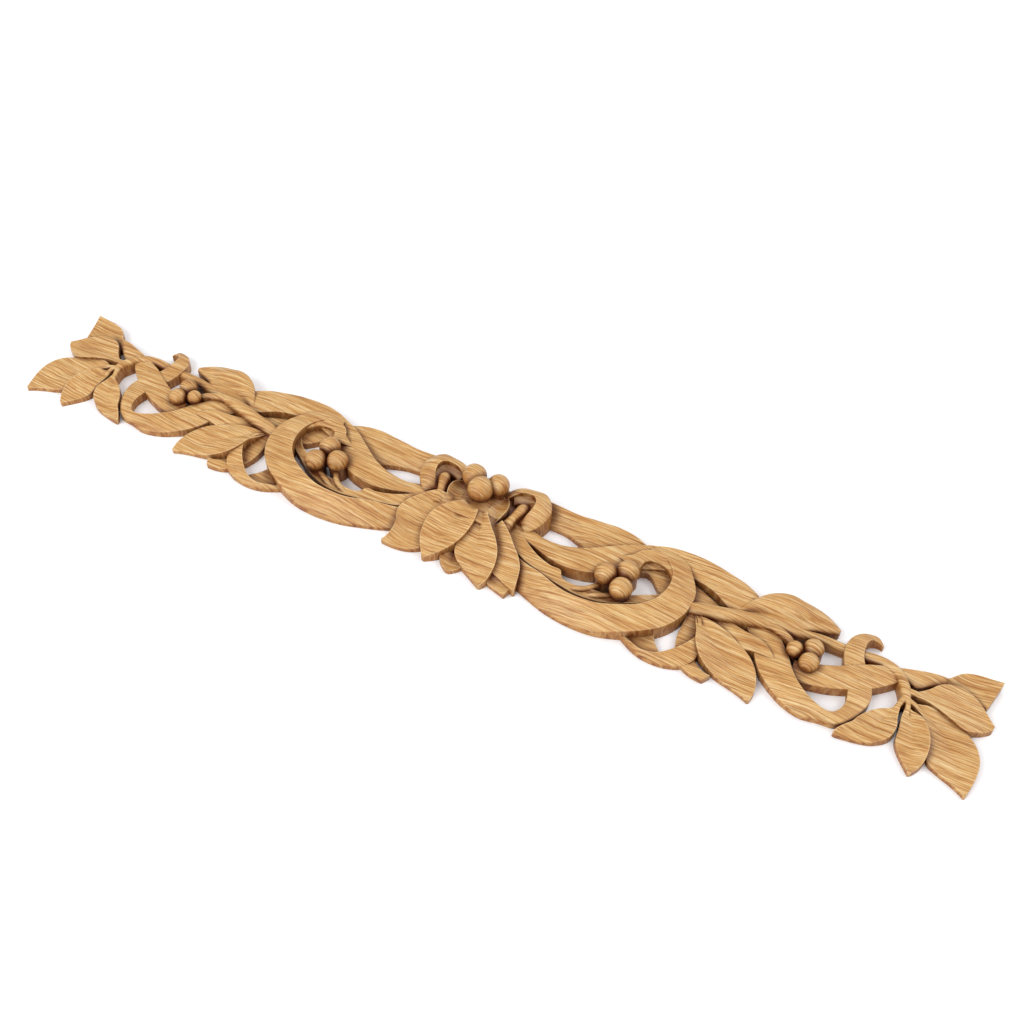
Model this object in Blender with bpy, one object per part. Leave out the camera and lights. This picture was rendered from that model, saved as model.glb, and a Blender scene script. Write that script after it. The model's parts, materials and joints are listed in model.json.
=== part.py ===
"""Pierced laurel onlay: one oak carving of ribbons, laurel leaves, stems and berries, lying on its flat back.

The two halves mirror each other about X = 0, except the fan of leaves at the centre.
All tables are drawn in units of a nine-hundredth of LENGTH, so 1 unit is 1 mm at the real size.
A row of a table is one cross-section: left edge x, y, height, then right edge x, y, height,
left and right as seen by someone who walks along the strip and looks down on it.
"""
import math

import bmesh
import bpy
import numpy as np

LENGTH = 0.900              # over the outermost leaf tips
DRAWN_LENGTH = 900.0        # LENGTH in drawing units
BACK_SHIFT = -6.6           # moves the drawing so that the origin is at the middle of the width
STATION_STEP = 11.0         # spacing of cross-sections along a strip
LEAF_STEP = 11.0            # the same along a leaf
FOOT_DEPTH = 3.0            # strips run this far below the back before it is cut flat
FOOT_STAGGER = 0.07         # each strip's foot is this much lower than the last one's
BIG_BERRY = 9.7             # radius of the berries inside the scrolls
SMALL_BERRY = 8.3           # radius of the berries beside the outer ribbons
LEAST_BERRY = 6.8           # radius of the smallest of them
POST_SHARE = 0.85           # usual radius of a berry's foot, as a share of the berry's own
BERRY_SIDES = 12
RIB_DEPTH = 1.8             # depth of a leaf's midrib groove
BACK_LEAF_RIB = 5.5         # the same for the back leaf, whose valley is deep and near its lower edge
BACK_LEAF_RIB_AT = 0.63     # where the valley runs, as a share of the leaf's width
STEM_FALL = 0.9             # how far a twig's sides fall, as a share of its half-width
UNDER_RIBBON_CROWN = 1.0    # how far the middle of a strip rises above its edges; below 0 it is hollow
RIBBON_CROWN = 0.8
SCROLL_CROWN = 0.6
BOW_CROWN = 0.6
BOW_BACK_CROWN = -0.4
CROSS_BAND_CROWN = 0.8
STRAND_CROWN = -1.2
BACK_LEAF_CROWN = 4.0
LEAF_CROWN = -0.6
CURL_CROWN = 1.5
FOLD_CROWN = 0.8
SCALE_CROWN = -3.0
BASE_CROWN = 1.0
WELD = 0.00001              # corners nearer than this, in metres, become one
OAK = (0.47, 0.29, 0.13, 1.0)

SCROLL = [
    (40, 0, 9, 48, -24, 4.5), (62, -11, 12, 64, -32, 4), (82, -17.5, 15.5, 82, -38.5, 4),
    (103, -25, 17, 101, -44, 3.5), (120, -26.5, 17.5, 122, -46.2, 4), (136, -24.8, 18, 143, -44.8, 7),
    (153, -18, 18.5, 163, -38.2, 12), (166, -10.5, 18.5, 181, -29, 14.5), (176, 0.5, 18.5, 195, -16, 15),
    (180.5, 14, 18.5, 203.5, 3, 15), (180, 27, 18, 202.5, 24.8, 15), (176.5, 35.3, 18, 193, 40, 15.5),
    (169.6, 42.3, 18, 184, 50, 15), (161, 45.5, 17.5, 168, 55, 15), (152, 45.5, 17, 154, 52, 15),
]
SCROLL_TIP = [
    (179.3, 28, 14, 181.5, 29, 17.2), (172.5, 35.6, 14.5, 176, 40, 18), (164, 38.2, 14.5, 166, 46, 18.5),
    (156.5, 36.5, 15.5, 155, 46.3, 18.5), (152.8, 32, 16, 146.5, 42, 18), (152, 26, 16, 142, 35, 17.5),
    (148, 21, 15.5, 138.5, 28, 16),
]
TIP_BARB = [(143, 26, 16.5, 146, 40, 16.8), (138, 26.5, 16, 138, 33, 16.3), (130, 28, 15.2, 130, 29, 15.4)]
RIBBON = [
    (30, 26, 10, 40, 8, 10), (53, 22, 12, 58, 8, 12), (68, 18.5, 12, 75, 2.5, 13), (85, 19, 13, 90, -1, 14),
    (103, 24.5, 14.5, 106, 0, 14), (120, 35, 15.5, 122, 5, 14.5), (137, 46.5, 15, 138, 17, 12.5),
    (152, 53.5, 15, 152, 29, 10.5), (168, 58.8, 15.5, 168, 36, 11), (187, 61, 15, 186, 38.7, 12),
    (203, 60, 15, 201, 37.8, 13), (220, 57, 14.5, 216, 33.5, 13.5), (236, 53.5, 13.5, 228, 27, 13),
    (250, 47, 12.5, 240, 21, 12), (262, 38.5, 12.2, 250.5, 15.5, 11.3), (273, 26.5, 12.3, 256.5, 8.5, 11),
    (283, 13, 12.5, 262, 1, 11), (290, 5, 12.5, 267, -8, 10.5), (297, -5, 12.5, 275, -18, 9.5),
    (304, -13, 12.5, 287, -27, 7.5), (312, -19.5, 12.5, 301, -34.5, 6), (321, -24.5, 12, 317, -38, 5.5),
    (330, -27, 11, 331, -35.5, 6), (337, -26, 10, 344, -33.5, 7), (342, -20, 9.5, 353, -24, 8),
    (343.5, -12, 9.5, 358, -14, 9), (342, -4, 10, 360, -4, 9.5), (339, 4, 10, 359, 4, 10),
    (334, 14, 10, 354, 14, 10), (330, 22, 10.5, 347.5, 24, 10.5), (327, 31, 11.5, 343, 32, 12),
    (326.5, 40, 11.5, 341, 40, 13), (329, 49, 10.5, 341, 46.5, 12.5), (334.5, 55, 10, 343, 51, 11.5),
    (341, 57.5, 9.5, 346, 52.5, 10), (347, 58, 8.5, 349.5, 53, 8.5), (353, 53, 6.5, 352.3, 52, 6.5),
]
UNDER_RIBBON = [
    (40, 58, 13, 40, 38, 6), (60, 56.5, 13, 60, 37.5, 5), (80, 55.5, 13, 78, 37, 5),
    (100, 57, 13.5, 94, 32, 6), (120, 58.5, 13.5, 112, 24, 7), (136, 56.5, 13, 130, 20, 8),
    (152, 51, 11, 146, 24, 8), (168, 46, 8, 158, 29.5, 7), (185, 42, 8, 174, 17.5, 7),
    (200, 36, 8.5, 190, 9, 7.5), (213, 30.5, 9, 205, 5, 8), (226, 24.5, 9.5, 222, 0, 9),
    (241, 13, 12.5, 238, -8, 8), (250, 9.8, 13.8, 247, -7.2, 8.5), (258, 8.3, 14.8, 254, -6.5, 10),
    (269, 6, 15, 265, -4.8, 12.2),
    (276.5, 1, 14.2, 273.5, -5, 13.2), (282, -3, 12.4, 281, -4.2, 12.2),
]
BOW = [
    (164, -34, 6, 160.5, -34.6, 4), (174.5, -38.8, 7.5, 171, -40.7, 4.5), (183, -42, 8.5, 181, -45, 4.5),
    (192, -41.5, 9, 191, -46.8, 4.5), (200.5, -37.5, 9.8, 203, -46.3, 4.5),
    (208.5, -30.5, 11.5, 213, -43.5, 5),
    (214.5, -23, 13, 222, -38, 6), (219, -14.5, 14, 227, -28, 9), (218.5, -8, 14, 222, -11, 13),
    (215, 0, 14, 218.5, 0, 14), (211.5, 6, 11.5, 215, 7, 11.5),
]
BOW_BACK = [
    (187, -21, 6, 163, -31, 5), (191, -28.5, 5.5, 170, -35, 4.5), (197, -34.5, 5, 180, -42, 4),
    (201, -38, 4.5, 190, -45, 3.5),
]
BOW_TAIL = [
    (216, 8, 10, 204, 8, 10), (217.5, -3, 8, 204, -5, 8), (219, -15, 7, 204.5, -16, 7),
    (223, -26, 6, 209, -29, 6), (231, -34, 6, 219, -40, 5.5), (242.5, -38, 6.5, 238.7, -44.5, 5.5),
]
CROSS_BAND = [
    (296, 4, 11, 297, -12, 8), (312, 8, 12, 308, -12, 9), (322, 12, 12, 321, -9.5, 10),
    (335, 19, 12, 334, -5, 10.5), (347, 26.5, 12, 347, 1.5, 10.5), (357, 31, 12, 359, 9, 10.5),
    (366, 34, 12, 370, 19, 10.5), (375, 37.5, 12, 378, 27, 11), (386, 41, 12, 388, 26, 9),
    (396, 44, 11.5, 398, 34, 8.5), (405, 46, 10, 407, 40, 6.5),
]
STRAND = [
    (38, 22, 12, 32, 14, 12), (56, 8, 13, 48, -2, 12), (72, -1, 13, 64, -10, 12),
    (86, -5, 13, 80, -14.5, 12),
    (95, -5.5, 13, 92, -17.8, 12), (98.5, -11, 12.5, 101, -19.3, 12), (110, -13, 12, 115, -20.8, 11.5),
    (121, -10.5, 12, 130, -19.6, 11.5), (135, -9, 12, 144, -15.2, 11), (152, -2, 11, 157, -8.5, 11),
    (163, 5, 10.5, 168, -1, 10.5), (174, 12, 10, 179, 7, 10),
    (181, 21, 9.5, 187, 17, 9.5),
]
BACK_LEAF = [
    (237, 25, 14, 243, 21, 14), (246, 41, 15.5, 255, 24.5, 14.5), (257, 52.5, 17, 268, 26, 14),
    (271, 58, 18, 280, 28.5, 13), (285, 57.5, 16.5, 291, 33, 12), (299, 58, 12.5, 301, 39.5, 10.5),
    (309, 55.5, 10.5, 310, 43, 9.5), (318, 51.2, 8, 317.6, 46.5, 8.5),
]
FRONT_LEAF = [
    (212, 8, 11, 210.4, 6.5, 11), (219, 6.6, 13.8, 213.5, -1, 14), (228, 5.3, 14.2, 217, -8, 16),
    (240, 2.5, 13.2, 220.5, -18, 15.5), (252, -3, 12, 228, -27.5, 12.5), (264, -9.5, 10, 237.5, -33.5, 9),
    (272.5, -18, 8, 248, -37.2, 5.5),
    (277, -28, 7, 259, -39.5, 4.5), (278.5, -37, 6, 269, -42, 4.5), (277.8, -44.3, 5, 276.3, -44.8, 4.5),
]
END_LEAVES = [
    [(396, 43.5, 9.5, 397, 35, 7), (407, 46.8, 10.2, 410, 36, 6.5), (415, 56, 9.5, 420, 36, 5.5),
     (426, 60, 10, 431, 36, 6), (437, 60.5, 11, 439, 34, 7), (445.8, 60.5, 12.5, 440.5, 33, 7.5)],
    [(382, 19.5, 13.5, 383, 15, 13.5), (389, 20.8, 13, 390, 16, 12.8), (396, 27, 12.5, 398, 16.5, 12),
     (403, 36, 12, 409, 14, 11), (413, 41, 11.5, 420, 10.5, 9), (427, 40, 10, 432, 7, 7),
     (438, 33, 9, 440, 10.5, 6),
     (445, 26, 8.5, 445.5, 14, 6), (450, 21.5, 8, 449.5, 18, 7)],
    [(384, 11.5, 13, 385, 8, 13), (391, 10.2, 12.5, 390.5, 6.8, 12.5), (401, 14.2, 10.5, 398, 3.5, 10.5),
     (418, 12.5, 8, 405, -8, 8.5), (432, 7, 7.8, 410, -20, 6.5), (443, -3, 8.5, 414, -31, 5.5),
     (449, -15, 8, 424, -36, 4.5),
     (450, -27, 7, 434, -39.5, 4.5), (449, -37, 6, 442, -43, 4.5), (447.6, -45, 5, 446.6, -45.8, 4.5)],
    [(388, 6.5, 13, 384.8, 5.5, 13), (389.5, 3, 12.5, 385.2, 1, 12.5), (396, 1.5, 13, 385, -4, 12),
     (406, -7, 13.5, 386.5, -16, 10),
     (411.5, -20, 13, 387.5, -25.5, 7), (412.5, -30, 10.5, 391.5, -32.5, 6), (411, -38, 8, 398, -39.8, 5.5),
     (406.2, -46.2, 6, 404.8, -46.8, 5.5)],
    [(382, 6, 13, 378.5, 5, 13), (382, 0, 12.5, 377, -1, 12), (383, -8, 12, 368, -6.5, 11),
     (385, -17, 11.5, 361.5, -13, 11), (383, -26, 9, 356.5, -20, 10.5), (374, -34, 5.5, 353.5, -26.5, 10),
     (363, -38, 4, 348.5, -32, 9),
     (353, -39.8, 4, 344.6, -37.5, 7.5), (345.5, -41, 4.5, 343.8, -40.2, 6)],
]
CROWN_CURL = [
    (42, 22, 12, 50, 15, 12), (44, 27, 19, 57, 22, 15), (47, 33, 24, 61.5, 30, 18),
    (47.5, 39, 26, 62.5, 39, 20),
    (45, 44, 26, 58.5, 48, 21), (39, 46.5, 25, 51, 54.5, 22), (33, 46, 24, 40, 54.5, 22),
    (28, 44, 22, 29, 53, 21), (22, 39, 18, 21, 48, 19), (19, 33, 14, 15, 41, 15),
]
CROWN_FOLD = [
    (40, 23, 12, 46, 20, 14), (40, 29, 14, 47, 27, 19), (41, 35, 15, 48.5, 36, 21),
    (38.5, 39.5, 15, 43, 46, 21),
    (33, 40, 15, 34, 47.5, 20), (28, 37, 14, 25, 43, 18),
]
CROWN_TONGUE = [
    (32, 8, 6.5, 16), (33.5, 16, 5, 18), (35, 22, 3.8, 19.5), (37, 28, 4.4, 21.5), (38.7, 33, 5.3, 22.5),
    (39, 37, 4, 21), (39, 40, 2.5, 18),
]
CROWN_SCALE = [
    (14, 14, 20, 23.5, 11, 15), (14, 21, 20.5, 27, 17, 20), (14.5, 27, 19.5, 28.6, 24, 22.5),
    (16, 33, 18.5, 27, 31, 22.8), (19, 37, 18, 23, 36.8, 20),
]
FAN_LEAVES = [
    [(18, -28, 8, -4, -28, 8), (17.5, -38.5, 5, -2, -38.5, 6), (10.5, -45.5, 5, 7.5, -45.5, 5)],
    [(44, -30, 8, 45, -41.5, 6), (56, -32, 8, 55, -44, 5), (66, -36, 8, 63, -46.2, 5.5)],
    [(30, 13, 21, 20, 4, 15), (41, 5, 19, 28, -12, 12.5), (51, -4.5, 17, 36, -24, 10),
     (58.5, -11.5, 15.5, 44, -31.5, 8.5), (64.5, -20, 14, 52, -34.5, 8), (67.5, -30, 12, 60, -37.5, 8),
     (69.6, -39.5, 9.5, 68.4, -40.5, 9)],
    [(-2, 0, 14, -17, 13, 21), (-10, -10, 13, -36, 19, 18), (-16, -20, 10.5, -48, 9, 16.5),
     (-19, -29, 8.5, -56, -2, 15), (-22, -35.5, 6.5, -59, -12, 13), (-32, -41.5, 5, -53, -26, 12),
     (-45, -44, 4.5, -53, -38, 10), (-56.5, -43.8, 5, -56, -42.5, 7)],
    [(16, 12, 25, 6, 10, 24), (25, 2.5, 22, 6, -6, 17.5), (33.5, -5.5, 19, 5, -17, 14),
     (40.5, -15, 16.5, 6, -27, 12), (44.5, -27, 13.5, 13, -35, 9), (45, -38, 10.5, 23, -39.5, 6),
     (43, -44.5, 8, 33, -44.5, 5), (40.8, -47.6, 6.5, 39, -47.5, 5.5)],
    [(8, 10, 26, -8, 14, 26), (10, 0, 23, -21, 4, 23.5), (9, -11, 19.5, -28, -8, 20.5),
     (6, -21, 16.5, -28.5, -20, 16.5), (0.5, -30.5, 13.5, -25.5, -31, 13), (-7, -38.5, 10.5, -20, -39, 9),
     (-14.5, -43.8, 7, -17, -43.2, 7)],
]
FAN_CROWNS = (-0.6, -0.6, -0.8, -1.5, -1.5, -1.5)
CROWN_BASE = [(-44, 40, 8, -44, 14, 8), (-30, 46, 9, -30, 8, 10), (-20, 48, 15, -22, 4, 16),
(0, 50, 20, 0, 0, 23),
              (20, 48, 15, 22, 4, 16), (30, 46, 9, 30, 8, 10), (44, 40, 8, 44, 14, 8)]

# A stem's row is x, y, half its width, and the height of its crest.
STEMS = [
    [(200, 10, 5, 13), (208, 12.5, 6, 16), (226, 15.5, 6.5, 18), (241, 19.5, 6.5, 18.5), (256, 23, 6.3, 18),
     (270, 26, 5.5, 16), (283, 29, 5, 13.5), (295, 32, 4.5, 12.5), (308, 34.5, 4.5, 11.5),
     (325, 35.5, 4.5, 10.5),
     (340, 35.5, 4.5, 11), (350, 35.8, 4.5, 13), (360, 35, 4.3, 14), (370, 31, 4.2, 14.5),
     (376.5, 24.5, 4.2, 15), (381, 17, 4.2, 15), (383.5, 9, 4, 14)],
    [(262, 22, 3, 15), (270, 23, 3.6, 17), (278, 21, 3.6, 17), (286, 18, 3, 16), (292, 13.5, 2.5, 14)],
    [(379, 18, 3.5, 13.5), (386, 18, 3, 13.8), (392, 19.5, 2.5, 12), (398, 21, 2, 8.5)],
    [(381, 10, 3.5, 14), (387, 9.3, 2.2, 13.8), (393, 8.2, 2, 12), (399, 6.5, 1.6, 8)],
    [(382, 10, 3, 14), (380.8, 5, 2.4, 13.3), (379, -1, 2.2, 11.5), (377, -8, 1.6, 8)],
    [(384, 11, 3, 14), (386.5, 5.5, 2.2, 13.6), (388, 0, 2.2, 12), (390, -6, 1.6, 8.5)],
    [(108, -17.5, 1.5, 10.5), (114, -15.5, 2.6, 13), (121, -12, 2.6, 13.2), (127, -5, 2.5, 13.2),
     (130, 1, 2.5, 12)],
    [(123, -17, 1.5, 10), (129, -15, 2.6, 12.8), (137, -11, 2.6, 13), (144, -6, 2.5, 12)],
]
BERRIES = [
    (145.8, 15.3, 18.2, BIG_BERRY, POST_SHARE), (148.3, -3.5, 18.4, BIG_BERRY, POST_SHARE),
    (131, 4.8, 18, BIG_BERRY, POST_SHARE), (305.5, 18.5, 14, SMALL_BERRY, 0.95),
    (306.7, 4.5, 14, SMALL_BERRY, POST_SHARE), (292.6, 10.8, 14.8, LEAST_BERRY, POST_SHARE),
]
CROWN_BERRIES = [(0.7, 27.5, 29.8, 11.2, POST_SHARE), (-11.4, 38.8, 29.2, 10.6, POST_SHARE),
                 (11.5, 39.5, 28.5, 9.6, POST_SHARE)]

UNIT = LENGTH / DRAWN_LENGTH
RIBBON_ACROSS = (0.0, 0.5, 1.0)
LEAF_ACROSS = (0.0, 0.25, 0.5, 0.75, 1.0)
BACK_LEAF_ACROSS = (0.0, 0.3, 0.63, 0.82, 1.0)


def clear_scene():
    for old in list(bpy.data.objects):
        bpy.data.objects.remove(old, do_unlink=True)


def smooth(rows, step):
    """Rows on a smooth curve through the given rows, about step apart along the strip's middle."""
    rows = np.array(rows, float)
    middles = (rows[:, 0:2] + rows[:, 3:5]) / 2 if rows.shape[1] == 6 else rows[:, 0:2]
    at = np.concatenate([[0.0], np.cumsum(np.hypot(*np.diff(middles, axis=0).T))])
    slope = np.gradient(rows, at, axis=0, edge_order=2 if len(rows) > 2 else 1)
    wanted = np.linspace(0.0, at[-1], max(3, round(at[-1] / step) + 1))
    span = np.clip(np.searchsorted(at, wanted, side="right") - 1, 0, len(at) - 2)
    width = (at[span + 1] - at[span])[:, None]
    t = (wanted - at[span])[:, None] / width
    return (
        (2 * t**3 - 3 * t**2 + 1) * rows[span]
        + (t**3 - 2 * t**2 + t) * width * slope[span]
        + (3 * t**2 - 2 * t**3) * rows[span + 1]
        + (t**3 - t**2) * width * slope[span + 1]
    )


def loft(name, rings, side):
    """A closed body through rings of points, mirrored where side is -1, as an object of its own."""
    shape = bmesh.new()
    loops = [[shape.verts.new((side * x * UNIT, (y + BACK_SHIFT) * UNIT, z * UNIT)) for x, y, z in ring]
             for ring in rings]
    for near, far in zip(loops, loops[1:]):
        for i in range(len(near)):
            j = (i + 1) % len(near)
            shape.faces.new((near[i], near[j], far[j], far[i]))
    shape.faces.new(loops[0])
    shape.faces.new(loops[-1])
    bmesh.ops.recalc_face_normals(shape, faces=shape.faces)
    return add_object(name, shape)


def add_object(name, shape):
    mesh = bpy.data.meshes.new(name)
    shape.to_mesh(mesh)
    shape.free()
    made = bpy.data.objects.new(name, mesh)
    pieces.objects.link(made)
    made.hide_render = True
    made.display_type = "WIRE"
    return made


def foot():
    """How far below the back the next body runs, so that no two feet lie in one plane."""
    return -FOOT_DEPTH - FOOT_STAGGER * len(pieces.objects)


def strip(name, rows, side=1, crown=0.0, rib=0.0, across=RIBBON_ACROSS, step=STATION_STEP, rib_at=0.5):
    """A ribbon or leaf between two edges, crowned between them and grooved by rib at rib_at of its width."""
    low = foot()
    rings = []
    for lx, ly, lz, rx, ry, rz in smooth(rows, step):
        narrow = min(1.0, math.hypot(rx - lx, ry - ly) / 12)
        top = []
        for u in across:
            swell = crown * 4 * u * (1 - u) - rib * max(0.0, 1 - abs(u - rib_at) * 4)
            top.append((lx + (rx - lx) * u, ly + (ry - ly) * u, lz + (rz - lz) * u + swell * narrow))
        rings.append([(lx, ly, low)] + top + [(rx, ry, low)])
    return loft(name, rings, side)


def leaf(name, rows, side=1, crown=LEAF_CROWN):
    return strip(name, rows, side, crown, RIB_DEPTH, LEAF_ACROSS, LEAF_STEP)


def stem(name, rows, side):
    """A round-topped twig along x, y with half-width and crest height at each row."""
    low = foot()
    path = smooth(rows, STATION_STEP)
    heading = np.gradient(path[:, 0:2], axis=0)
    rings = []
    for (x, y, half, crest), (dx, dy) in zip(path, heading):
        nx, ny = np.array((-dy, dx)) / math.hypot(dx, dy)
        arch = [(half * math.cos(a), crest - half * (1 - math.sin(a)) * STEM_FALL)
                for a in (math.pi, math.pi * 0.75, math.pi / 2, math.pi / 4, 0.0)]
        ring = [(x + nx * across, y + ny * across, z) for across, z in arch]
        rings.append([(*ring[0][:2], low)] + ring + [(*ring[-1][:2], low)])
    return loft(name, rings, side)


def berry(name, x, y, z, radius, post_share, side):
    """A ball, and the round post that it is carved on."""
    ball = bmesh.new()
    bmesh.ops.create_uvsphere(ball, u_segments=BERRY_SIDES, v_segments=BERRY_SIDES // 2, radius=radius * UNIT)
    made = add_object(name, ball)
    made.location = (side * x * UNIT, (y + BACK_SHIFT) * UNIT, z * UNIT)
    low = foot()
    post = bmesh.new()
    bmesh.ops.create_cone(post, cap_ends=True, segments=BERRY_SIDES, radius1=radius * post_share * UNIT,
                          radius2=radius * post_share * UNIT, depth=(z - low) * UNIT)
    stand = add_object(name + " post", post)
    stand.location = (side * x * UNIT, (y + BACK_SHIFT) * UNIT, (z + low) / 2 * UNIT)


def half(side):
    """Everything that both halves have, on the right for side 1 and on the left for side -1."""
    strip("under ribbon", UNDER_RIBBON, side, UNDER_RIBBON_CROWN)
    strip("ribbon", RIBBON, side, RIBBON_CROWN)
    strip("scroll", SCROLL, side, SCROLL_CROWN)
    strip("scroll tip", SCROLL_TIP, side)
    strip("tip barb", TIP_BARB, side)
    strip("bow tail", BOW_TAIL, side)
    strip("bow", BOW, side, BOW_CROWN)
    strip("bow back", BOW_BACK, side, BOW_BACK_CROWN)
    strip("cross band", CROSS_BAND, side, CROSS_BAND_CROWN)
    strip("strand", STRAND, side, STRAND_CROWN)
    strip("back leaf", BACK_LEAF, side, BACK_LEAF_CROWN, BACK_LEAF_RIB, BACK_LEAF_ACROSS, LEAF_STEP,
          BACK_LEAF_RIB_AT)
    leaf("front leaf", FRONT_LEAF, side)
    for i, rows in enumerate(END_LEAVES):
        leaf(f"end leaf {i}", rows, side)
    for i, rows in enumerate(STEMS):
        stem(f"stem {i}", rows, side)
    for i, ball in enumerate(BERRIES):
        berry(f"berry {i}", *ball, side)
    strip("crown curl", CROWN_CURL, side, CURL_CROWN)
    strip("crown fold", CROWN_FOLD, side, FOLD_CROWN)
    stem("crown tongue", CROWN_TONGUE, side)
    strip("crown scale", CROWN_SCALE, side, SCALE_CROWN)


def centre():
    strip("crown base", CROWN_BASE, 1, BASE_CROWN)
    for i, rows in enumerate(FAN_LEAVES):
        leaf(f"fan leaf {i}", rows, 1, FAN_CROWNS[i])
    for i, ball in enumerate(CROWN_BERRIES):
        berry(f"crown berry {i}", *ball, 1)


def carve():
    """Joins all the bodies into one and cuts its back flat at height 0.

    The flat cut uses the MANIFOLD solver, because EXACT leaves open edges along the back.
    """
    blank = bmesh.new()
    bmesh.ops.create_cube(blank, size=1.0)
    bmesh.ops.scale(blank, vec=(LENGTH * 1.2, LENGTH * 0.3, LENGTH * 0.1), verts=blank.verts)
    bmesh.ops.translate(blank, vec=(0, 0, LENGTH * 0.05), verts=blank.verts)
    mesh = bpy.data.meshes.new("blank")
    blank.to_mesh(mesh)
    blank.free()
    board = bpy.data.objects.new("blank", mesh)
    board.hide_render = True
    board.display_type = "WIRE"
    cutters.objects.link(board)

    first = pieces.objects[0]
    onlay = bpy.data.objects.new("laurel_onlay", first.data)
    model.objects.link(onlay)
    bpy.data.objects.remove(first)
    join = onlay.modifiers.new("join", "BOOLEAN")
    join.operation = "UNION"
    join.solver = "EXACT"
    join.operand_type = "COLLECTION"
    join.collection = pieces
    back = onlay.modifiers.new("flat back", "BOOLEAN")
    back.operation = "INTERSECT"
    back.solver = "MANIFOLD"
    back.object = board
    weld = onlay.modifiers.new("weld", "WELD")
    weld.merge_threshold = WELD
    return onlay


def oak():
    material = bpy.data.materials.new("oak")
    material.use_nodes = True
    shader = material.node_tree.nodes["Principled BSDF"]
    shader.inputs["Base Color"].default_value = OAK
    shader.inputs["Roughness"].default_value = 0.6
    shader.inputs["Metallic"].default_value = 0.0
    return material


def new_collection(name):
    made = bpy.data.collections.new(name)
    bpy.context.scene.collection.children.link(made)
    return made


clear_scene()
model = new_collection("laurel onlay")
pieces = new_collection("carved bodies")
cutters = new_collection("cutters")
half(1)
half(-1)
centre()
laurel_onlay = carve()
laurel_onlay.data.materials.append(oak())
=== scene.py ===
"""The looks of the pierced laurel onlay: its fine carving in one mesh, the oak, the floor, light and camera.

The two halves mirror each other about X = 0, except the fan of leaves at the centre.
All tables are drawn in millimetres. A row of a table is one cross-section: left edge x, y, height, then
right edge x, y, height, left and right as seen by someone who walks along the strip and looks down on it.
"""
import json
import math

import bmesh
import bpy
import numpy as np
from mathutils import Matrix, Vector, noise
from mathutils.bvhtree import BVHTree

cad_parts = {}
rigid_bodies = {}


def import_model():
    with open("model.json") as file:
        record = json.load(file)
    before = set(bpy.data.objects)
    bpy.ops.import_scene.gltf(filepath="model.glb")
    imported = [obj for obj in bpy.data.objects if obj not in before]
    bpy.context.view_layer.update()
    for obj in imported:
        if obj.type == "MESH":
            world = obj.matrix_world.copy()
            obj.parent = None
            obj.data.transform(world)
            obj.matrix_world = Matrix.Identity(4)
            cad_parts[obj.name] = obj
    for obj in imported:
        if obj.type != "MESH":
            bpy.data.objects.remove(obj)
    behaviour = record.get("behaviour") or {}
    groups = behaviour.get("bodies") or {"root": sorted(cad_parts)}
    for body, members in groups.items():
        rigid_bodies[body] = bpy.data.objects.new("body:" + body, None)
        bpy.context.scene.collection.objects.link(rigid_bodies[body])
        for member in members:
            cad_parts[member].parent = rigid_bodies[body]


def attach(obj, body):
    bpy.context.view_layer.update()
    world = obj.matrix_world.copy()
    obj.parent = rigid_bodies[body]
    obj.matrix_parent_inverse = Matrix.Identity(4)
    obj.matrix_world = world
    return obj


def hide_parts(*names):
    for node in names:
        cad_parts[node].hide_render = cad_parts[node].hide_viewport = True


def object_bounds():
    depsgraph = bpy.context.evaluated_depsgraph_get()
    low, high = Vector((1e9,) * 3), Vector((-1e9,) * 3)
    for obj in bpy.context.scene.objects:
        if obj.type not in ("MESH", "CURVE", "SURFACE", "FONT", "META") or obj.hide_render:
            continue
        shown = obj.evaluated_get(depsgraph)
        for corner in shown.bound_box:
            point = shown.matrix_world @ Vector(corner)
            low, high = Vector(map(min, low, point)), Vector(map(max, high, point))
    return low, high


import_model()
cad_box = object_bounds()

MM = 0.001
BACK_SHIFT = -6.6           # moves the drawing so that the origin is at the middle of the width
ALONG_STEP = 2.0            # spacing of cross-sections along every strip
ACROSS_STEP = 2.0           # spacing of points across it
RIM = 0.8                   # radius of the rounded rims
RIM_SHARE = 0.3             # where a strip is narrow, each rim takes at most this share of its width
RIM_ANGLES = (0, 30, 60, 90)
NARROW = 12.0               # where a strip is narrower than this, it swells and dips less
FOOT_DEPTH = 3.0            # bodies run this far below the back before it is cut flat
FOOT_STAGGER = 0.07         # each body's foot is this much lower than the last one's
RIB_DEPTH = 2.3             # depth of a leaf's midrib groove
RIB_WIDTH = 4.2             # how wide the groove spreads to each side
RIB_END = 0.85              # the groove fades out at this share of the leaf's length
RIB_FADE = 0.5              # power of that fade: below 1, the groove stays deep for longer
BACK_LEAF_RIB = 7.0         # depth of the back leaf's valley, which lies nearer to its lower edge
BACK_LEAF_RIB_AT = 0.63     # where the valley lies across the leaf, as a share of its width
BACK_LEAF_RIB_WIDTH = 6.5
BACK_LEAF_RIB_END = 1.2     # past the leaf's end, so the valley runs through to its tip
STEM_FALL = 0.9             # how far a twig's sides fall, as a share of its half-width
STEM_ARC = 12               # facets of a twig's round top
UNDER_RIBBON_CROWN = 1.0    # how far the middle of a strip rises above its edges; below 0 it is hollow
RIBBON_CROWN = 0.8
SCROLL_CROWN = 0.6
BOW_CROWN = 0.6
BOW_BACK_CROWN = -0.4
CROSS_BAND_CROWN = 0.8
STRAND_CROWN = -1.2
BACK_LEAF_CROWN = 4.0
LEAF_CROWN = -0.6
CURL_CROWN = 1.5
FOLD_CROWN = 0.8
SCALE_CROWN = -3.0
BASE_CROWN = 1.0
BIG_BERRY = 9.7             # radius of the berries inside the scrolls
SMALL_BERRY = 8.3           # radius of the berries beside the outer ribbons
LEAST_BERRY = 6.8           # radius of the smallest of them
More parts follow.
